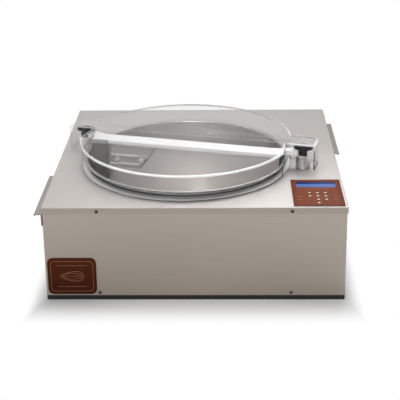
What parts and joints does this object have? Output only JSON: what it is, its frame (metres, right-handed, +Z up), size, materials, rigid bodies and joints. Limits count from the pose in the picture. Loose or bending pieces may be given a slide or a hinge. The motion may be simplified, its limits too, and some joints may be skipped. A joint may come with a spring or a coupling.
{
  "type": "countertop chocolate tempering machine",
  "caption": "Square stainless countertop machine with a motor-turned bowl in its deck, a clear two-piece cover, a clamped baffle with scraper, side grips and a control panel.",
  "frame": {"origin": "on the table under the middle of the case", "axes": "+Z up, the front with the control panel faces -Y, +X is to the right seen from the front"},
  "size_m": [0.638, 0.6152, 0.259],
  "materials": {
    "brushed_steel": "brushed stainless sheet",
    "polished_steel": "bright polished stainless",
    "zinc_steel": "zinc plated steel",
    "dark_screw": "darkened steel screw",
    "clear_plastic": "clear acrylic",
    "white_plastic": "white acetal",
    "black_plastic": "black moulded plastic",
    "grey_plastic": "dark grey plastic",
    "rubber": "black rubber",
    "brown_label": "printed polyester, brown",
    "badge_brown": "brown enamelled plate",
    "key_cream": "cream key cap",
    "lcd_blue": "blue backlit display",
    "board_green": "green circuit board",
    "gear_nylon": "natural nylon",
    "cast_aluminium": "cast and turned aluminium"
  },
  "bodies": {
    "case": {"base_pan": "zinc_steel", "case_wrap": "brushed_steel", "rear_panel": "brushed_steel", "deck_cover": "brushed_steel", "foot_front_left": "rubber", "foot_front_right": "rubber", "foot_rear_left": "rubber", "foot_rear_right": "rubber", "deck_screw_left": "dark_screw", "deck_screw_right": "dark_screw", "pan_screw_left": "dark_screw", "pan_screw_right": "dark_screw", "grip_left": "brushed_steel", "grip_right": "brushed_steel", "badge_plate": "badge_brown", "control_overlay": "brown_label", "lcd_module": "lcd_blue", "keypad_board": "board_green", "bearing_housing": "cast_aluminium", "drive_bridge": "zinc_steel", "gear_motor": "black_plastic", "heater_element": "zinc_steel", "heater_tray": "zinc_steel", "bowl_sensor": "black_plastic", "fan_frame": "black_plastic", "fan_guard": "polished_steel", "mains_inlet": "black_plastic", "switch_housing": "black_plastic", "power_supply": "zinc_steel", "relay_board": "board_green", "clamp_post_left": "cast_aluminium", "clamp_post_right": "cast_aluminium", "baffle_beam": "white_plastic", "divider_plate": "polished_steel", "divider_screw_left": "polished_steel", "divider_screw_right": "polished_steel", "scraper_plate": "grey_plastic", "scraper_bracket": "clear_plastic", "thumb_screw_left": "polished_steel", "thumb_screw_right": "polished_steel"},
    "bowl_drive": {"bowl": "polished_steel", "turntable": "cast_aluminium", "spindle": "zinc_steel", "turntable_gear": "gear_nylon"},
    "pinion": {"drive_pinion": "gear_nylon"},
    "fan": {"fan_rotor": "black_plastic"},
    "rear_lid": {"rear_cover": "clear_plastic"},
    "front_lid": {"front_cover": "clear_plastic"},
    "knob_left": {"clamp_knob_left": "black_plastic"},
    "knob_right": {"clamp_knob_right": "black_plastic"},
    "rocker": {"switch_rocker": "black_plastic"},
    "key_status_left": {"key_status_left": "key_cream"},
    "key_status_middle": {"key_status_middle": "key_cream"},
    "key_status_right": {"key_status_right": "key_cream"},
    "key_left": {"key_left": "key_cream"},
    "key_up": {"key_up": "key_cream"},
    "key_right": {"key_right": "key_cream"},
    "key_enter": {"key_enter": "key_cream"},
    "key_mode": {"key_mode": "key_cream"},
    "key_down": {"key_down": "key_cream"}
  },
  "joints": [
    {"name": "bowl_spin", "type": "hinge", "parent": "case", "child": "bowl_drive", "pos_m": [-0.024, -0.044, 0], "axis": [0, 0, 1], "continuous": true},
    {"name": "pinion_spin", "type": "hinge", "parent": "case", "child": "pinion", "pos_m": [0.0663, -0.044, 0], "axis": [0, 0, 1], "continuous": true},
    {"name": "fan_spin", "type": "hinge", "parent": "case", "child": "fan", "pos_m": [0.178, 0, 0.132], "axis": [0, 1, 0], "continuous": true},
    {"name": "rear_lid_lift", "type": "slide", "parent": "case", "child": "rear_lid", "axis": [0, 0, 1], "range_m": [0, 0.12]},
    {"name": "front_lid_lift", "type": "slide", "parent": "case", "child": "front_lid", "axis": [0, 0, 1], "range_m": [0, 0.12]},
    {"name": "knob_left_turn", "type": "hinge", "parent": "case", "child": "knob_left", "pos_m": [-0.2534, 0.0356, 0], "axis": [0, 0, 1], "continuous": true},
    {"name": "knob_right_turn", "type": "hinge", "parent": "case", "child": "knob_right", "pos_m": [0.2289, -0.0883, 0], "axis": [0, 0, 1], "continuous": true},
    {"name": "rocker_tilt", "type": "hinge", "parent": "case", "child": "rocker", "pos_m": [-0.184, 0.3015, 0.066], "axis": [0, 0, 1], "range_deg": [-22, 0]},
    {"name": "key_status_left_press", "type": "slide", "parent": "case", "child": "key_status_left", "axis": [0, 0, -1], "range_m": [0, 0.0005], "stiffness_N_per_m": 400, "springref_m": -0.0005},
    {"name": "key_status_middle_press", "type": "slide", "parent": "case", "child": "key_status_middle", "axis": [0, 0, -1], "range_m": [0, 0.0005], "stiffness_N_per_m": 400, "springref_m": -0.0005},
    {"name": "key_status_right_press", "type": "slide", "parent": "case", "child": "key_status_right", "axis": [0, 0, -1], "range_m": [0, 0.0005], "stiffness_N_per_m": 400, "springref_m": -0.0005},
    {"name": "key_left_press", "type": "slide", "parent": "case", "child": "key_left", "axis": [0, 0, -1], "range_m": [0, 0.0005], "stiffness_N_per_m": 400, "springref_m": -0.0005},
    {"name": "key_up_press", "type": "slide", "parent": "case", "child": "key_up", "axis": [0, 0, -1], "range_m": [0, 0.0005], "stiffness_N_per_m": 400, "springref_m": -0.0005},
    {"name": "key_right_press", "type": "slide", "parent": "case", "child": "key_right", "axis": [0, 0, -1], "range_m": [0, 0.0005], "stiffness_N_per_m": 400, "springref_m": -0.0005},
    {"name": "key_enter_press", "type": "slide", "parent": "case", "child": "key_enter", "axis": [0, 0, -1], "range_m": [0, 0.0005], "stiffness_N_per_m": 400, "springref_m": -0.0005},
    {"name": "key_mode_press", "type": "slide", "parent": "case", "child": "key_mode", "axis": [0, 0, -1], "range_m": [0, 0.0005], "stiffness_N_per_m": 400, "springref_m": -0.0005},
    {"name": "key_down_press", "type": "slide", "parent": "case", "child": "key_down", "axis": [0, 0, -1], "range_m": [0, 0.0005], "stiffness_N_per_m": 400, "springref_m": -0.0005}
  ],
  "couplings": [
    {"joint": "pinion_spin", "follows": "bowl_spin", "ratio": -4}
  ]
}
